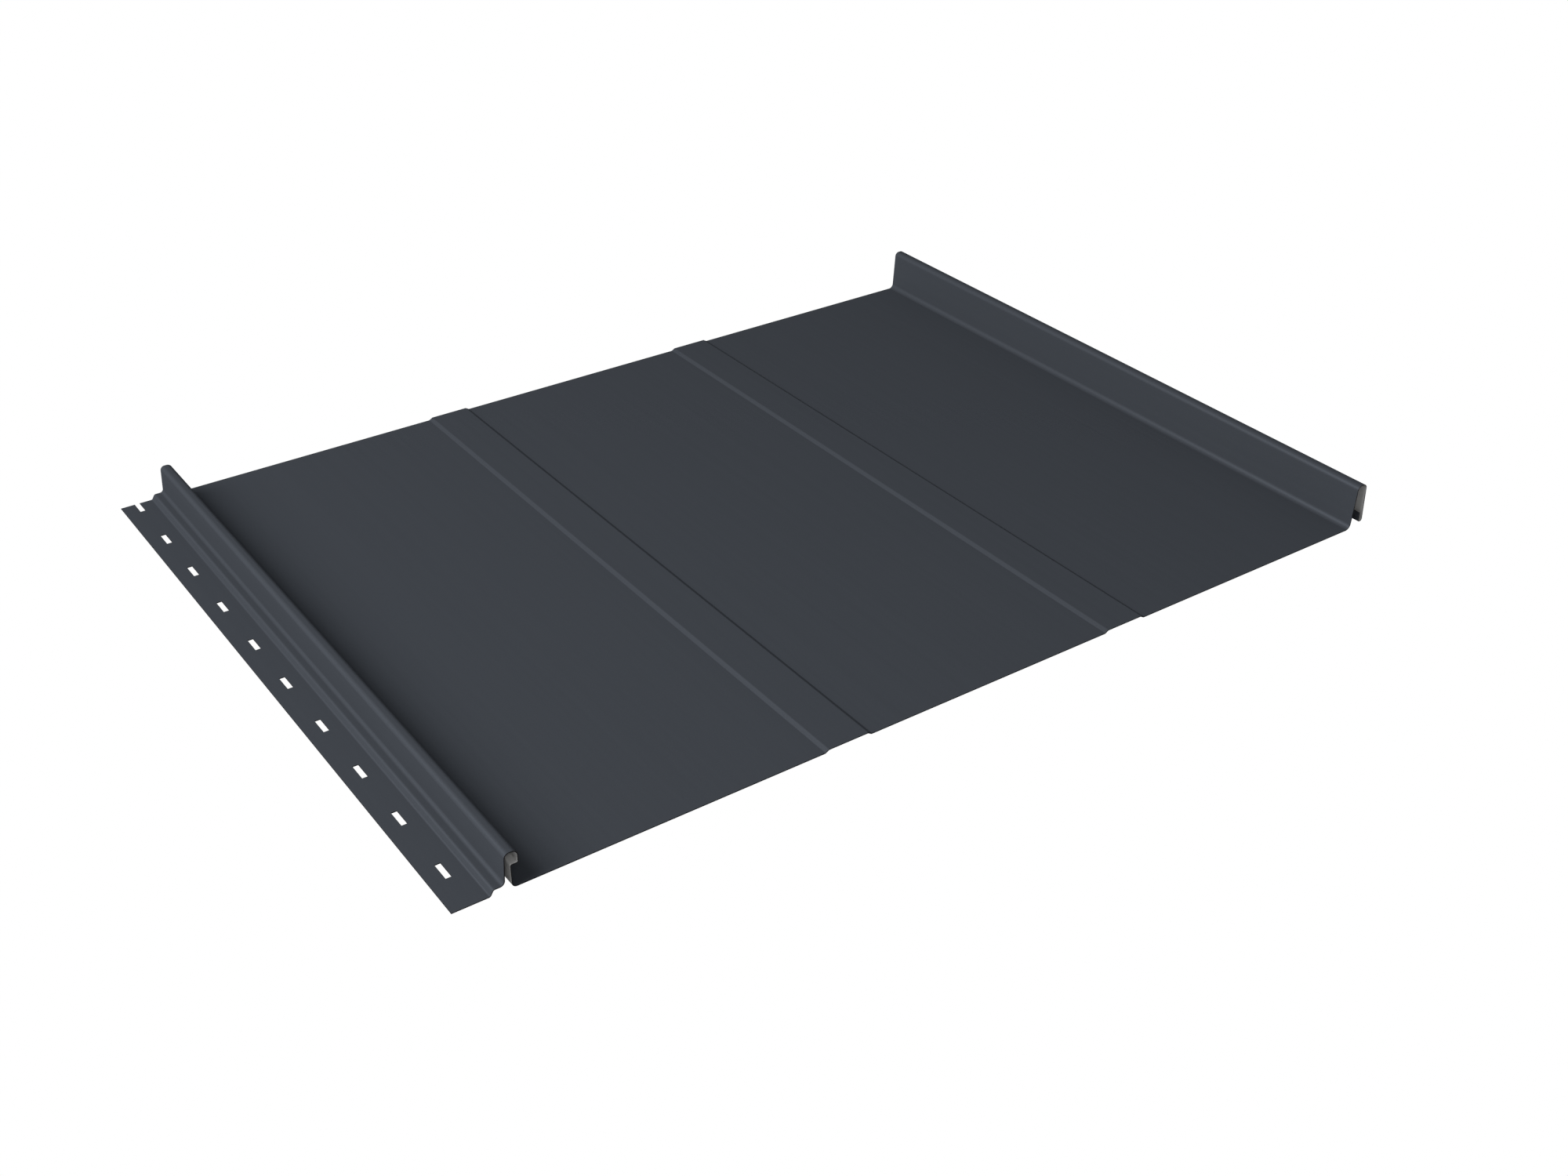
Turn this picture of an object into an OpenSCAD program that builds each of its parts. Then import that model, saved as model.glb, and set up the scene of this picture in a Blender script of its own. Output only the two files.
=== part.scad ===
// Standing seam roof panel, roll formed from one coated steel sheet.
// X runs across the panel, from the nailing flange to the cover seam. Y runs up the roof slope.
// Z is up, and Z = 0 is the underside of the pan. Y = 0 is the middle of the length.
// Heights are measured from the top of the pan, and bend radii are those inside the bend.

/* [Sheet] */
// Length of the panel from end to end
sheet_length = 400; // [200:10:1200]
// Thickness of the coated steel
sheet_t = 0.5; // [0.4:0.05:0.7]
// Cover width, from the middle of one seam to the middle of the other
cover_w = 510; // [300:10:700]

/* [Pan ribs] */
// Number of stiffening ribs, which split the cover width into equal bays
rib_count = 2; // [1:1:4]
// Width of a rib's flat crown
rib_crown_w = 22; // [8:1:40]
// Height of a rib
rib_h = 1.2; // [0.6:0.1:3]
// Slope of a rib's flanks, in degrees
rib_slope = 30; // [20:1:60]
// Bend radius of a rib
rib_r = 0.6; // [0.3:0.1:1.2]

/* [Nailing flange] */
// Width of the flat flange that is nailed down
flange_w = 17.4; // [14:0.2:30]
// Rise of the step that carries the next panel
step_h = 2.8; // [2:0.1:4]
// Slope of the step, in degrees
step_slope = 60; // [45:1:75]
// Width of the shelf between the step and the hook seam
shelf_w = 5; // [4.5:0.1:8]
// Bend radius of the step
step_r = 1; // [0.5:0.1:1.2]

/* [Nailing slots] */
// Length of a slot
slot_l = 10.4; // [5:0.2:20]
// Width of a slot
slot_w = 2.7; // [2:0.1:5]
// Distance from the flange's edge to the middle of the slots
slot_inset = 9; // [5:0.2:11]
// Distance from the panel's lower end to the first slot
slot_start = 20.3; // [5:0.1:40]
// Pitch of the slots
slot_pitch = 41.75; // [30:0.05:80]
// Pitch of every third pair, which the punch sets closer
slot_short_pitch = 39.85; // [25:0.05:80]

/* [Hook seam] */
// Height of the hook seam
hook_h = 18.3; // [16:0.1:21]
// Width of the hook's head at its top
hook_w = 6.4; // [6:0.1:8]
// Lean of the hook seam's wall, in degrees
hook_lean = 4; // [0:0.5:6]
// Depth of the hook's head, down to the underside of its lip
hook_depth = 7.1; // [6:0.1:8]
// How far the lip stands out past the neck
lip_reach = 3.5; // [2.5:0.1:3.8]
// Bend radius of the head over the wall
hook_wall_r = 2; // [1:0.1:2.2]
// Bend radius of the head over the lip
hook_nose_r = 2.5; // [1:0.1:2.6]
// Bend radius under the nose of the lip
lip_r = 0.5; // [0.3:0.1:0.8]
// Bend radius where the lip meets the neck
neck_r = 0.3; // [0.2:0.1:0.6]
// Bend radius at the foot of the hook seam
hook_foot_r = 2; // [1:0.1:2.4]

/* [Cover seam] */
// Height of the cover seam
cover_h = 25; // [22:0.5:32]
// Width of the cover seam at its top
cover_head_w = 6.6; // [6.2:0.1:9]
// Lean of the cover seam's wall, in degrees
cover_lean = 4.5; // [0:0.5:6]
// Bend radius of the cover seam's head
cover_head_r = 2.3; // [1:0.1:2.4]
// Bend radius at the foot of the cover seam
cover_foot_r = 3; // [1:0.1:4]
// Slope of the outer leg, in degrees
leg_lean = 2.3; // [0:0.1:4]
// Height of the outer leg's lower edge above the pan
leg_lift = 2; // [1:0.1:3]
// Width of the hem at the leg's lower edge
hem_w = 3; // [2.6:0.1:3.6]
// Bend radius of the hem
hem_r = 0.7; // [0.4:0.1:0.9]
// Clearance between the hem's tip and the lip that it snaps under
snap_gap = 0.1; // [0:0.05:0.5]

/* [Hidden] */

// Largest angle between two neighbouring points of a bend
bend_step = 7.5;
// How far a cutting tool reaches past the sheet
past = 1;
sheet_colour = [0.24, 0.26, 0.29];

hook_x = -cover_w / 2;
cover_x = cover_w / 2;
rib_run = rib_h / tan(rib_slope);

// The hook seam, from the wall's foot to the neck
hook_top_x = hook_x - hook_w / 2;
hook_foot_x = hook_top_x - (hook_h - step_h) * tan(hook_lean);
nose_x = hook_x + hook_w / 2;
neck_x = nose_x - lip_reach;
lip_z = hook_h - hook_depth;

// The nailing flange, outwards from the hook seam
step_top_x = hook_foot_x - shelf_w;
step_foot_x = step_top_x - step_h / tan(step_slope);
flange_x = step_foot_x - flange_w;

// The cover seam, which the next panel's step lifts by its rise and one sheet
cover_left_x = cover_x - cover_head_w / 2;
cover_right_x = cover_x + cover_head_w / 2;
cover_foot_x = cover_left_x - cover_h * tan(cover_lean);
leg_foot_x = cover_right_x + (cover_h - leg_lift) * tan(leg_lean);
hem_x = leg_foot_x - hem_w;
hem_tip_z = lip_z - step_h - sheet_t - snap_gap;
hem_tip_x = hem_x - (hem_tip_z - leg_lift) * tan(leg_lean);

// Shift that puts the middle of the panel's whole width at X = 0
middle_x = (flange_x + leg_foot_x) / 2;

// Corners of the painted face as [x, z, bend radius], from the flange's edge to the hem's tip
flange_corners = [
    [flange_x, 0, 0],
    [step_foot_x, 0, step_r],
    [step_top_x, step_h, step_r]
];
hook_corners = [
    [hook_foot_x, step_h, hook_foot_r],
    [hook_top_x, hook_h, hook_wall_r],
    [nose_x, hook_h, hook_nose_r],
    [nose_x, lip_z, lip_r],
    [neck_x, lip_z, neck_r],
    [neck_x, 0, hook_foot_r]
];
cover_corners = [
    [cover_foot_x, 0, cover_foot_r],
    [cover_left_x, cover_h, cover_head_r],
    [cover_right_x, cover_h, cover_head_r],
    [leg_foot_x, leg_lift, hem_r],
    [hem_x, leg_lift, hem_r],
    [hem_tip_x, hem_tip_z, 0]
];
panel_corners = concat(
    flange_corners,
    hook_corners,
    [for (k = [1 : rib_count]) each rib_corners(hook_x + cover_w * k / (rib_count + 1))],
    cover_corners
);

// The four corners of one rib across the pan
function rib_corners(x) = [
    [x - rib_crown_w / 2 - rib_run, 0, rib_r],
    [x - rib_crown_w / 2, rib_h, rib_r],
    [x + rib_crown_w / 2, rib_h, rib_r],
    [x + rib_crown_w / 2 + rib_run, 0, rib_r]
];

function flat(corner) = [corner[0], corner[1]];
function heading(a, b) = (flat(b) - flat(a)) / norm(flat(b) - flat(a));
function left_of(u) = [-u[1], u[0]];
function turned(u, angle) = u * cos(angle) + left_of(u) * sin(angle);
// Angle from one heading to the next, positive to the left
function turn(u, v) = atan2(left_of(u) * v, u * v);

// Points of one bend, on the face that lies depth below the painted face.
// In a turn to the left the painted face is inside the bend, and in one to the right it is outside.
function bend(corner, u, v, depth) =
    let (
        angle = turn(u, v),
        side = sign(angle),
        painted_r = side > 0 ? corner[2] : corner[2] + sheet_t,
        tangent = painted_r * tan(abs(angle) / 2),
        out = -side * left_of(u),
        centre = flat(corner) - u * tangent - out * painted_r,
        count = ceil(abs(angle) / bend_step)
    )
    [for (k = [0 : count]) centre + turned(out, angle * k / count) * (painted_r + side * depth)];

// The whole face that lies depth below the painted face
function face(corners, depth) =
    let (
        last = len(corners) - 1,
        headings = [for (k = [1 : last]) heading(corners[k - 1], corners[k])]
    )
    concat(
        [flat(corners[0]) - left_of(headings[0]) * depth],
        [for (k = [1 : last - 1]) each bend(corners[k], headings[k - 1], headings[k], depth)],
        [flat(corners[last]) - left_of(headings[last - 1]) * depth]
    );

function reversed(points) = [for (k = [len(points) - 1 : -1 : 0]) points[k]];

// Distance from the lower end to the start of slot k
function slot_y(k) =
    slot_start + k * slot_pitch - (slot_pitch - slot_short_pitch) * floor((k + 1) / 3);

module section() {
    polygon(concat(face(panel_corners, 0), reversed(face(panel_corners, sheet_t))));
}

// The row of slots runs on up the slope, so the upper end may cut through the last one
module slots() {
    for (k = [0 : ceil(sheet_length / slot_short_pitch)])
        if (slot_y(k) < sheet_length)
            translate([flange_x + slot_inset - slot_w / 2, slot_y(k), -sheet_t - past])
                cube([slot_w, slot_l, sheet_t + 2 * past]);
}

module seam_panel() {
    color(sheet_colour)
        translate([-middle_x, -sheet_length / 2, sheet_t])
            difference() {
                translate([0, sheet_length, 0])
                    rotate([90, 0, 0])
                        linear_extrude(height = sheet_length)
                            section();
                slots();
            }
}

seam_panel();
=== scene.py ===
"""Standing seam roof panel: one roll formed steel sheet with a painted face, a grey back and bare cut edges.

The sheet is drawn as one line across the panel, the section of its painted face, and swept along the slope.
X runs across the panel, Y up the slope and Z up. Lengths are in metres and angles in degrees.
"""
import math

import bmesh
import bpy
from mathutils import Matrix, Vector


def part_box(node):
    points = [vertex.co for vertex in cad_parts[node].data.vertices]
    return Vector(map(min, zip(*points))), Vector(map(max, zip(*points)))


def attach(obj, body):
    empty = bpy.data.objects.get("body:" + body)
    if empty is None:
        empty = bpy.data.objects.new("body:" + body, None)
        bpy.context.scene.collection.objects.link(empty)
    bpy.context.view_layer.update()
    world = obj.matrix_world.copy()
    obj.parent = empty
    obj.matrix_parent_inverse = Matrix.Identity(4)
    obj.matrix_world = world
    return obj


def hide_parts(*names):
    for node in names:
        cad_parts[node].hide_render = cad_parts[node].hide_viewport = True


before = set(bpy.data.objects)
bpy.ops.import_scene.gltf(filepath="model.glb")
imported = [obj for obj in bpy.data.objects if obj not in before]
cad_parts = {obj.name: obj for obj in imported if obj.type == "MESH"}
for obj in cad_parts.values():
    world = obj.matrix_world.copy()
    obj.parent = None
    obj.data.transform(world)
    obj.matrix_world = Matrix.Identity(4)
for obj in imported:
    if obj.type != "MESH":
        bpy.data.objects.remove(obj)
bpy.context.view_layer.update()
cad_low, cad_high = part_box("seam_panel")

# Sheet, with the length taken from the part in model.glb
SHEET_T = 0.0005
SHEET_LENGTH = cad_high.y - cad_low.y
COVER_W = 0.510

# Pan ribs
RIB_COUNT = 2
RIB_CROWN_W = 0.022
RIB_H = 0.0012
RIB_SLOPE = 30
RIB_R = 0.0006

# Nailing flange and the step that carries the next panel
FLANGE_W = 0.0174
STEP_H = 0.0028
STEP_SLOPE = 60
SHELF_W = 0.005
STEP_R = 0.001

# Nailing slots, in groups of three whose last two lie closer together
SLOT_GROUP = 3
SLOT_L = 0.0104
SLOT_W = 0.0027
SLOT_INSET = 0.009
SLOT_START = 0.0203
SLOT_PITCH = 0.04175
SLOT_SHORT_PITCH = 0.03985
SLOT_CORNER_R = 0.00025

# Hook seam
HOOK_H = 0.0183
HOOK_W = 0.0064
HOOK_LEAN = 4
HOOK_DEPTH = 0.0071
LIP_REACH = 0.0035
HOOK_WALL_R = 0.002
HOOK_NOSE_R = 0.0025
LIP_R = 0.0005
NECK_R = 0.0003
HOOK_FOOT_R = 0.002

# Cover seam, its outer leg and hem
COVER_H = 0.025
COVER_HEAD_W = 0.0066
COVER_LEAN = 4.5
COVER_HEAD_R = 0.0023
COVER_FOOT_R = 0.003
LEG_LEAN = 2.3
LEG_LIFT = 0.002
HEM_W = 0.003
HEM_R = 0.0007
SNAP_GAP = 0.0001

# Mesh
BEND_STEP = 4.0
EDGE_R = 0.00006
EDGE_SEGMENTS = 2
SLOT_CORNER_SEGMENTS = 3
SLOT_CORNER_TURN = 60
ROUND_PROFILE = 0.5
# The slots lie in the second column of the mesh, next to the one along the flange's edge
SLOT_COLUMN = 1

# Order of the sheet's materials
PAINT, BACK, CUT = range(3)

# Camera
CAMERA_TARGET = Vector((-0.0208, -0.0745, 0.0))
CAMERA_AZIMUTH = 35.0
CAMERA_ELEVATION = 32.0
CAMERA_DISTANCE = 0.9665
CAMERA_FOV = 45.0
SENSOR_W = 36.0
CAMERA_NEAR = 0.01
CAMERA_FAR = 50

# Studio, with a sky that is white up to one angle and dim from the next
FLOOR_RADIUS = 9.0
FLOOR_SIDES = 96
FLOOR_DROP = 0.0001
FLOOR_BOUNCE = 0.4
SKY_WHITE_TO = 7.0
SKY_DIM_FROM = 20.0
SKY_WHITE = 1.0
SKY_DIM = 0.3
# Round softboxes. Side is measured from the front towards the left, elevation from the floor
KEY_SIDE = 99.7
KEY_ELEVATION = 40.3
KEY_SIZE = 2.19
KEY_DISTANCE = 2.49
KEY_WATTS = 114.4
FILL_SIDE = 20.8
FILL_ELEVATION = 33.7
FILL_SIZE = 1.39
FILL_DISTANCE = 2.5
FILL_WATTS = 18.75

# Finishes, with colours in linear light
WHITE = (1, 1, 1, 1)
PAINT_COLOUR = (0.0373, 0.0416, 0.049)
PAINT_ROUGHNESS = 0.4
PAINT_SPECULAR = 0.0
PAINT_METALLIC = 0.22
PAINT_EDGE_TINT = (0.1, 0.1, 0.1, 1)
PAINT_SPREAD = 0.12
BACK_COLOUR = (0.33, 0.33, 0.327)
BACK_ROUGHNESS = 0.6
BACK_SPECULAR = 0.2
BACK_SPREAD = 0.25
BACK_LINE_SHARE = 0.5
# Cut edges near black: painted shade on the cut faces, darker than bare steel
CUT_SHADED_COLOUR = (0.008, 0.008, 0.009)
CUT_ROUGHNESS = 0.6
CUT_SPECULAR = 0.05
CUT_SPREAD = 0.5
ROUGHNESS_SPREAD = 0.06
GRAIN_SIZE = 0.0006
GRAIN_DEPTH = 0.000008
GRAIN_DETAIL = 2.0
ROLLER_LINE_SIZE = 0.0025
ROLLER_LINE_SHARE = 0.3
ALONG_THE_SHEET = (1, 120, 1)
BLOTCH_SIZE = 0.006
BLOTCH_DETAIL = 4.0
SCORE_SIZE = 0.00012
SCORE_DEPTH = 0.00001


def tan(degrees):
    """Tangent of an angle in degrees."""
    return math.tan(math.radians(degrees))


def rib_corners(x):
    """The four corners of one rib across the pan."""
    run = RIB_H / tan(RIB_SLOPE)
    half = RIB_CROWN_W / 2
    return [
        (x - half - run, 0, RIB_R),
        (x - half, RIB_H, RIB_R),
        (x + half, RIB_H, RIB_R),
        (x + half + run, 0, RIB_R),
    ]


def hook_side_corners(hook_x):
    """Corners of the nailing flange, the step and the hook seam round hook_x."""
    top_x = hook_x - HOOK_W / 2
    foot_x = top_x - (HOOK_H - STEP_H) * tan(HOOK_LEAN)
    step_top_x = foot_x - SHELF_W
    step_foot_x = step_top_x - STEP_H / tan(STEP_SLOPE)
    nose_x = hook_x + HOOK_W / 2
    neck_x = nose_x - LIP_REACH
    lip_z = HOOK_H - HOOK_DEPTH
    return [
        (step_foot_x - FLANGE_W, 0, 0),
        (step_foot_x, 0, STEP_R),
        (step_top_x, STEP_H, STEP_R),
        (foot_x, STEP_H, HOOK_FOOT_R),
        (top_x, HOOK_H, HOOK_WALL_R),
        (nose_x, HOOK_H, HOOK_NOSE_R),
        (nose_x, lip_z, LIP_R),
        (neck_x, lip_z, NECK_R),
        (neck_x, 0, HOOK_FOOT_R),
    ]


def cover_side_corners(cover_x):
    """Corners of the cover seam round cover_x, down to the tip of its hem."""
    left_x = cover_x - COVER_HEAD_W / 2
    right_x = cover_x + COVER_HEAD_W / 2
    leg_foot_x = right_x + (COVER_H - LEG_LIFT) * tan(LEG_LEAN)
    hem_x = leg_foot_x - HEM_W
    tip_z = HOOK_H - HOOK_DEPTH - STEP_H - SHEET_T - SNAP_GAP
    return [
        (left_x - COVER_H * tan(COVER_LEAN), 0, COVER_FOOT_R),
        (left_x, COVER_H, COVER_HEAD_R),
        (right_x, COVER_H, COVER_HEAD_R),
        (leg_foot_x, LEG_LIFT, HEM_R),
        (hem_x, LEG_LIFT, HEM_R),
        (hem_x - (tip_z - LEG_LIFT) * tan(LEG_LEAN), tip_z, 0),
    ]


def panel_corners():
    """Corners of the painted face as (x, z, inside bend radius), from the flange's edge to the hem's tip."""
    corners = hook_side_corners(-COVER_W / 2)
    for k in range(1, RIB_COUNT + 1):
        corners += rib_corners(COVER_W * (k / (RIB_COUNT + 1) - 0.5))
    return corners + cover_side_corners(COVER_W / 2)


def left_of(u):
    """The direction a quarter turn to the left of u."""
    return Vector((-u.y, u.x))


def turned(u, angle):
    """The direction u turned to the left by an angle in radians."""
    return u * math.cos(angle) + left_of(u) * math.sin(angle)


def bend(point, radius, u, v):
    """Stations round one bend. In a turn to the left the painted face is inside the bend."""
    angle = math.atan2(left_of(u).dot(v), u.dot(v))
    side = math.copysign(1, angle)
    painted_r = radius if side > 0 else radius + SHEET_T
    out = -side * left_of(u)
    centre = point - u * painted_r * math.tan(abs(angle) / 2) - out * painted_r
    count = math.ceil(abs(math.degrees(angle)) / BEND_STEP)
    spokes = [turned(out, angle * k / count) for k in range(count + 1)]
    return [(centre + spoke * painted_r, -side * spoke) for spoke in spokes]


def section_stations(corners):
    """The painted face's section as (point, normal) pairs."""
    points = [Vector(corner[:2]) for corner in corners]
    headings = [(b - a).normalized() for a, b in zip(points, points[1:])]
    stations = [(points[0], left_of(headings[0]))]
    for k in range(1, len(points) - 1):
        stations += bend(points[k], corners[k][2], headings[k - 1], headings[k])
    return stations + [(points[-1], left_of(headings[-1]))]


def slot_spans():
    """Start and end of each nailing slot from the lower end. The upper end cuts through the last one."""
    spans = []
    start = SLOT_START
    while start < SHEET_LENGTH:
        spans.append((start, min(start + SLOT_L, SHEET_LENGTH)))
        start += SLOT_SHORT_PITCH if len(spans) % SLOT_GROUP == SLOT_GROUP - 1 else SLOT_PITCH
    return spans


def sheet_grid():
    """Stations across the panel, rows up the slope, and the grid cells that the slots leave open."""
    corners = panel_corners()
    stations = section_stations(corners)
    flange_normal = stations[0][1]
    slot_x = corners[0][0] + SLOT_INSET
    sides = [(Vector((slot_x + s * SLOT_W / 2, 0)), flange_normal) for s in (-1, 1)]
    stations[SLOT_COLUMN:SLOT_COLUMN] = sides
    spans = slot_spans()
    rows = sorted({0, SHEET_LENGTH, *(y for span in spans for y in span)})
    open_cells = {(SLOT_COLUMN, rows.index(start)) for start, end in spans}
    return stations, rows, open_cells


def add_faces(bm, stations, rows, open_cells):
    """Painted face, back face and cut edges of the sheet as quads."""
    shift_x = cad_low.x - stations[0][0].x

    def vertex(point, y):
        return bm.verts.new((point.x + shift_x, y + cad_low.y, point.y + SHEET_T))

    top = [[vertex(p, y) for y in rows] for p, n in stations]
    under = [[vertex(p - n * SHEET_T, y) for y in rows] for p, n in stations]
    last_i, last_j = len(stations) - 1, len(rows) - 1
    solid = {(i, j) for i in range(last_i) for j in range(last_j)} - open_cells
    for i, j in sorted(solid):
        ring = [(i, j), (i + 1, j), (i + 1, j + 1), (i, j + 1)]
        beside = [(i, j - 1), (i + 1, j), (i, j + 1), (i - 1, j)]
        bm.faces.new([top[a][b] for a, b in ring]).material_index = PAINT
        bm.faces.new([under[a][b] for a, b in reversed(ring)]).material_index = BACK
        for k, cell in enumerate(beside):
            if cell not in solid:
                (a, b), (c, d) = ring[k], ring[(k + 1) % len(ring)]
                wall = [top[c][d], top[a][b], under[a][b], under[c][d]]
                bm.faces.new(wall).material_index = CUT


def is_slot_corner(edge):
    """True for the upright edges at the slots' corners, which lie inside the sheet's outline."""
    a, b = (v.co for v in edge.verts)
    upright = abs(a.z - b.z) > SHEET_T / 2
    inside_x = cad_low.x + EDGE_R < a.x
    inside_y = cad_low.y + EDGE_R < a.y < cad_high.y - EDGE_R
    is_cut = all(f.material_index == CUT for f in edge.link_faces)
    turn = math.radians(SLOT_CORNER_TURN)
    return upright and inside_x and inside_y and is_cut and edge.calc_face_angle() > turn


def is_rim(edge):
    """True where a face of the sheet meets its cut edge."""
    finishes = {f.material_index for f in edge.link_faces}
    return len(finishes) == 2 and CUT in finishes


def round_over(bm, edges, radius, segments):
    """Rounds the edges, and gives the new faces the cut edge's finish."""
    bmesh.ops.bevel(
        bm, geom=edges, offset=radius, segments=segments,
        profile=ROUND_PROFILE, affect="EDGES", clamp_overlap=True, material=CUT,
    )


def round_edges(bm):
    """Rounds the slots' corners, and then both rims of every cut edge."""
    round_over(bm, [e for e in bm.edges if is_slot_corner(e)], SLOT_CORNER_R, SLOT_CORNER_SEGMENTS)
    round_over(bm, [e for e in bm.edges if is_rim(e)], EDGE_R, EDGE_SEGMENTS)


def make_sheet():
    """The panel as one closed mesh."""
    bm = bmesh.new()
    add_faces(bm, *sheet_grid())
    round_edges(bm)
    mesh = bpy.data.meshes.new("roof_panel_sheet")
    bm.to_mesh(mesh)
    bm.free()
    mesh.shade_smooth()
    sheet = bpy.data.objects.new("roof_panel_sheet", mesh)
    bpy.context.scene.collection.objects.link(sheet)
    normals = sheet.modifiers.new("flat_faces_first", "WEIGHTED_NORMAL")
    normals.mode = "FACE_AREA"
    normals.keep_sharp = True
    for material in (paint_material(), back_material(), cut_material()):
        mesh.materials.append(material)
    return sheet


def new_material(name, base, roughness, specular):
    """A plain material whose uniform values sit on the shader's own sockets."""
    material = bpy.data.materials.new(name)
    material.use_nodes = True
    shader = material.node_tree.nodes["Principled BSDF"]
    shader.inputs["Base Color"].default_value = (*base, 1)
    shader.inputs["Roughness"].default_value = roughness
    shader.inputs["Specular IOR Level"].default_value = specular
    return material, material.node_tree, shader


def add_noise(tree, size, stretch=(1, 1, 1), detail=GRAIN_DETAIL):
    """Noise in the object's own coordinates, whose features are about size across, or stretch times that."""
    coordinates = tree.nodes.new("ShaderNodeTexCoord")
    mapping = tree.nodes.new("ShaderNodeMapping")
    mapping.inputs["Scale"].default_value = [1 / (size * along) for along in stretch]
    noise = tree.nodes.new("ShaderNodeTexNoise")
    noise.inputs["Scale"].default_value = 1
    noise.inputs["Detail"].default_value = detail
    tree.links.new(coordinates.outputs["Object"], mapping.inputs["Vector"])
    tree.links.new(mapping.outputs["Vector"], noise.inputs["Vector"])
    return noise.outputs["Fac"]


def vary_colour(tree, factor, colour, spread):
    """The colour, darker and lighter by the spread as the factor runs from 0 to 1."""
    mix = tree.nodes.new("ShaderNodeMix")
    mix.data_type = "RGBA"
    mix.inputs["A"].default_value = (*(c * (1 - spread) for c in colour), 1)
    mix.inputs["B"].default_value = (*(c * (1 + spread) for c in colour), 1)
    tree.links.new(factor, mix.inputs["Factor"])
    return mix.outputs["Result"]


def vary_number(tree, factor, low, high):
    """A number that runs from low to high with the factor."""
    span = tree.nodes.new("ShaderNodeMapRange")
    span.inputs["To Min"].default_value = low
    span.inputs["To Max"].default_value = high
    tree.links.new(factor, span.inputs["Value"])
    return span.outputs["Result"]


def average(tree, a, b, share_of_b):
    """The mean of two numbers, where b counts for its share."""
    mix = tree.nodes.new("ShaderNodeMix")
    mix.inputs["Factor"].default_value = share_of_b
    tree.links.new(a, mix.inputs["A"])
    tree.links.new(b, mix.inputs["B"])
    return mix.outputs["Result"]


def add_bump(tree, shader, height, depth):
    """Raises the shader's surface by up to depth where the height is 1."""
    bump = tree.nodes.new("ShaderNodeBump")
    bump.inputs["Strength"].default_value = 1
    bump.inputs["Distance"].default_value = depth
    tree.links.new(height, bump.inputs["Height"])
    tree.links.new(bump.outputs["Normal"], shader.inputs["Normal"])


def paint_material():
    """Matt charcoal coil paint: a fine grain, and faint lines along the sheet from the coating rollers."""
    material, tree, shader = new_material("charcoal_paint", PAINT_COLOUR, PAINT_ROUGHNESS, PAINT_SPECULAR)
    shader.inputs["Metallic"].default_value = PAINT_METALLIC
    shader.inputs["Specular Tint"].default_value = PAINT_EDGE_TINT
    grain = add_noise(tree, GRAIN_SIZE)
    lines = add_noise(tree, ROLLER_LINE_SIZE, ALONG_THE_SHEET)
    tone = average(tree, grain, lines, ROLLER_LINE_SHARE)
    colour = vary_colour(tree, tone, PAINT_COLOUR, PAINT_SPREAD)
    rough = vary_number(tree, tone, PAINT_ROUGHNESS - ROUGHNESS_SPREAD, PAINT_ROUGHNESS + ROUGHNESS_SPREAD)
    tree.links.new(colour, shader.inputs["Base Color"])
    tree.links.new(rough, shader.inputs["Roughness"])
    add_bump(tree, shader, grain, GRAIN_DEPTH)
    return material


def back_material():
    """Thin grey back coat, blotchy where it is thinner, with the same lines along the sheet."""
    material, tree, shader = new_material("grey_back_coat", BACK_COLOUR, BACK_ROUGHNESS, BACK_SPECULAR)
    blotches = add_noise(tree, BLOTCH_SIZE, detail=BLOTCH_DETAIL)
    lines = add_noise(tree, ROLLER_LINE_SIZE, ALONG_THE_SHEET)
    tone = average(tree, blotches, lines, BACK_LINE_SHARE)
    rough = vary_number(tree, tone, BACK_ROUGHNESS - ROUGHNESS_SPREAD, BACK_ROUGHNESS + ROUGHNESS_SPREAD)
    tree.links.new(vary_colour(tree, tone, BACK_COLOUR, BACK_SPREAD), shader.inputs["Base Color"])
    tree.links.new(rough, shader.inputs["Roughness"])
    add_bump(tree, shader, add_noise(tree, GRAIN_SIZE), GRAIN_DEPTH)
    return material


def cut_material():
    """Sheared and slit steel edge, scored by the blade, coloured near black as painted shade on the cut
    faces.
    """
    material, tree, shader = new_material("cut_steel_edge", CUT_SHADED_COLOUR, CUT_ROUGHNESS, CUT_SPECULAR)
    scores = add_noise(tree, SCORE_SIZE)
    tree.links.new(vary_colour(tree, scores, CUT_SHADED_COLOUR, CUT_SPREAD), shader.inputs["Base Color"])
    add_bump(tree, shader, scores, SCORE_DEPTH)
    return material


def floor_material():
    """Looks pure white, and throws back only a share of the light that falls on it."""
    material, tree, shader = new_material("white_floor", (FLOOR_BOUNCE,) * 3, roughness=1, specular=0)
    plain_white = tree.nodes.new("ShaderNodeEmission")
    rays = tree.nodes.new("ShaderNodeLightPath")
    pick = tree.nodes.new("ShaderNodeMixShader")
    is_seen, thrown_back, seen = pick.inputs
    tree.links.new(rays.outputs["Is Camera Ray"], is_seen)
    tree.links.new(shader.outputs["BSDF"], thrown_back)
    tree.links.new(plain_white.outputs["Emission"], seen)
    tree.links.new(pick.outputs["Shader"], tree.nodes["Material Output"].inputs["Surface"])
    material.cycles.emission_sampling = "NONE"
    return material


def make_floor():
    """A plain floor, a hair below the sheet so that no faces coincide."""
    bm = bmesh.new()
    bmesh.ops.create_circle(bm, cap_ends=True, segments=FLOOR_SIDES, radius=FLOOR_RADIUS)
    mesh = bpy.data.meshes.new("studio_floor")
    bm.to_mesh(mesh)
    bm.free()
    floor = bpy.data.objects.new("studio_floor", mesh)
    floor.location.z = -FLOOR_DROP
    bpy.context.scene.collection.objects.link(floor)
    mesh.materials.append(floor_material())


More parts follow.
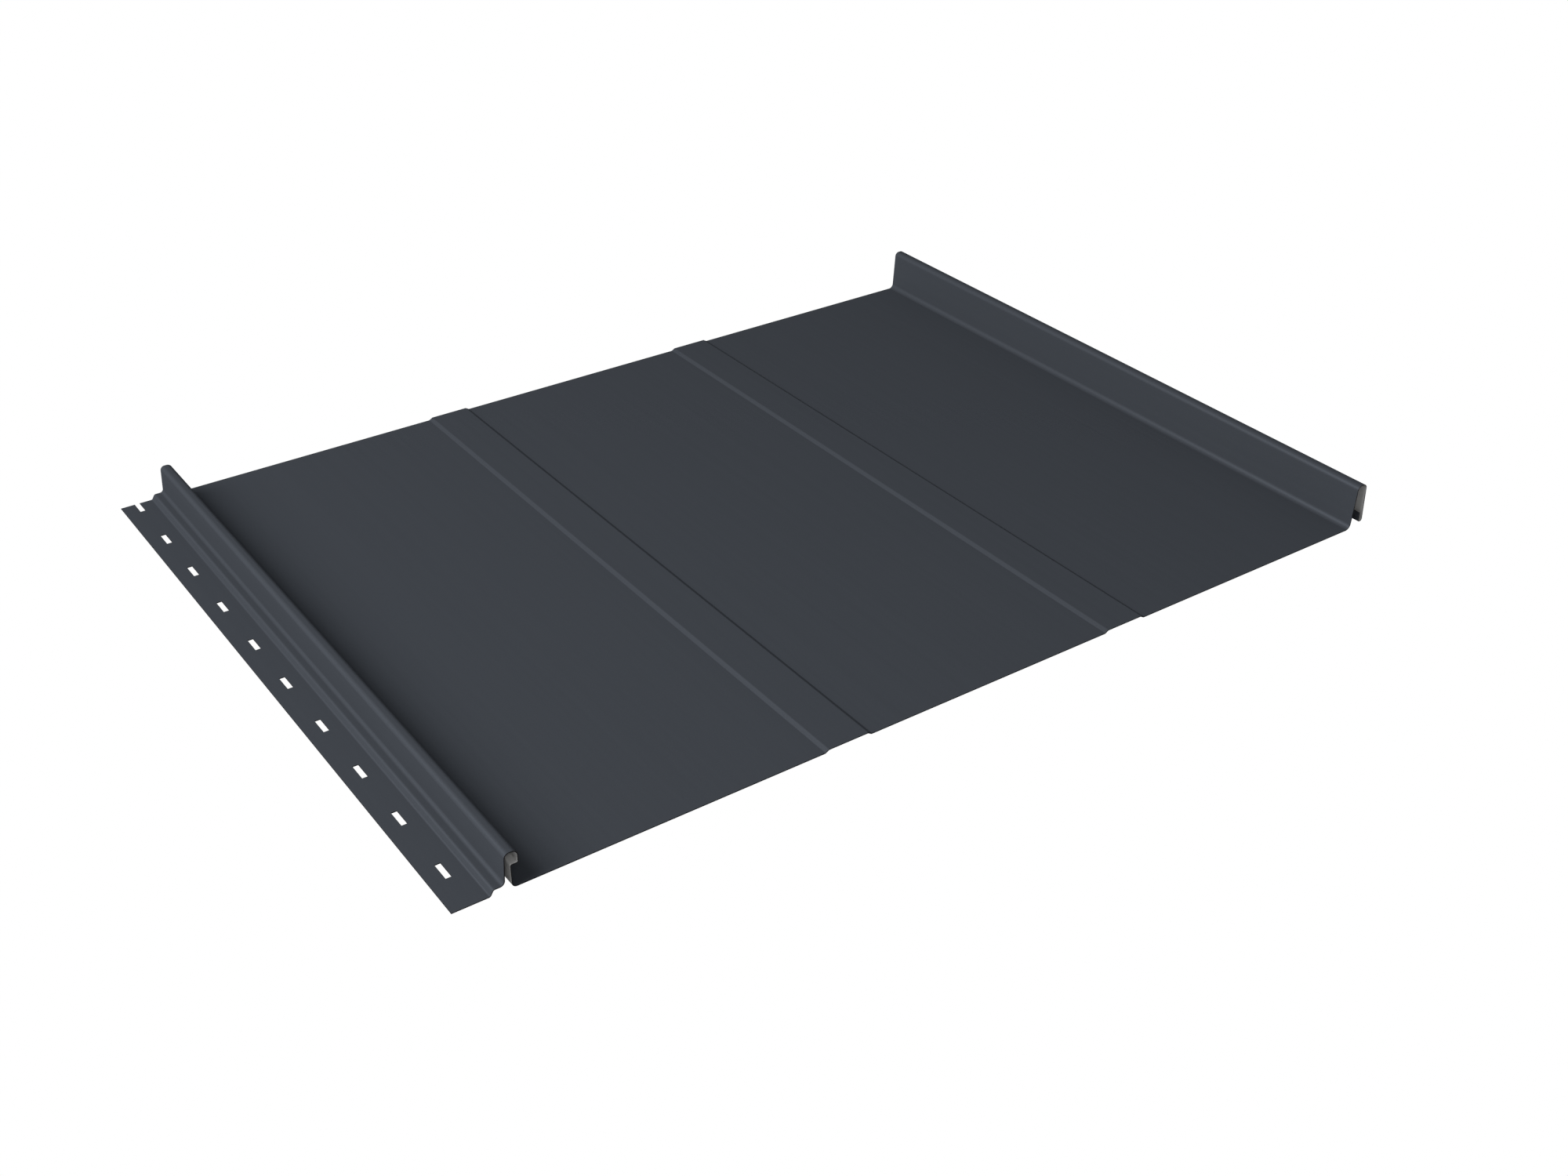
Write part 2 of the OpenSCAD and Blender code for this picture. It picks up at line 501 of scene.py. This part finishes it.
def make_world():
    """A sky that is white down at the floor's edge and dim overhead."""
    world = bpy.data.worlds.new("studio_world")
    world.use_nodes = True
    tree = world.node_tree
    direction = tree.nodes.new("ShaderNodeTexCoord")
    split = tree.nodes.new("ShaderNodeSeparateXYZ")
    tree.links.new(direction.outputs["Generated"], split.inputs["Vector"])
    fade = tree.nodes.new("ShaderNodeMapRange")
    fade.interpolation_type = "SMOOTHSTEP"
    fade.inputs["From Min"].default_value = math.sin(math.radians(SKY_WHITE_TO))
    fade.inputs["From Max"].default_value = math.sin(math.radians(SKY_DIM_FROM))
    fade.inputs["To Min"].default_value = SKY_WHITE
    fade.inputs["To Max"].default_value = SKY_DIM
    tree.links.new(split.outputs["Z"], fade.inputs["Value"])
    tree.links.new(fade.outputs["Result"], tree.nodes["Background"].inputs["Strength"])
    tree.nodes["Background"].inputs["Color"].default_value = WHITE
    bpy.context.scene.world = world


def add_softbox(name, side, elevation, distance, size, watts):
    """A round softbox aimed at the middle of the panel."""
    side, up = math.radians(side), math.radians(elevation)
    towards = Vector((
        -math.sin(side) * math.cos(up),
        -math.cos(side) * math.cos(up),
        math.sin(up),
    ))
    data = bpy.data.lights.new(name, "AREA")
    data.shape = "DISK"
    data.size = size
    data.energy = watts
    light = bpy.data.objects.new(name, data)
    light.location = towards * distance
    light.rotation_euler = (-towards).to_track_quat("-Z", "Y").to_euler()
    light.visible_camera = False
    bpy.context.scene.collection.objects.link(light)


def make_lights():
    """A large key light from the left and a weak fill from the front."""
    add_softbox("key_softbox", KEY_SIDE, KEY_ELEVATION, KEY_DISTANCE, KEY_SIZE, KEY_WATTS)
    add_softbox("fill_softbox", FILL_SIDE, FILL_ELEVATION, FILL_DISTANCE, FILL_SIZE, FILL_WATTS)


def make_camera():
    """The photograph's viewpoint. Azimuth is measured from the panel's length, elevation from the floor."""
    azimuth = math.radians(CAMERA_AZIMUTH)
    elevation = math.radians(CAMERA_ELEVATION)
    forward = Vector((
        math.sin(azimuth) * math.cos(elevation),
        math.cos(azimuth) * math.cos(elevation),
        -math.sin(elevation),
    ))
    data = bpy.data.cameras.new("photo_camera")
    data.sensor_width = SENSOR_W
    data.lens = SENSOR_W / 2 / tan(CAMERA_FOV / 2)
    data.clip_start = CAMERA_NEAR
    data.clip_end = CAMERA_FAR
    camera = bpy.data.objects.new("photo_camera", data)
    camera.location = CAMERA_TARGET - forward * CAMERA_DISTANCE
    camera.rotation_euler = forward.to_track_quat("-Z", "Y").to_euler()
    bpy.context.scene.collection.objects.link(camera)
    bpy.context.scene.camera = camera


def plain_colours():
    """The picture's colours come out as the light gives them, with no film look."""
    settings = bpy.context.scene.view_settings
    settings.view_transform = "Standard"
    settings.look = "None"


make_camera()
plain_colours()
make_floor()
make_world()
make_lights()

sheet = make_sheet()
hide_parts("seam_panel")
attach(sheet, "root")
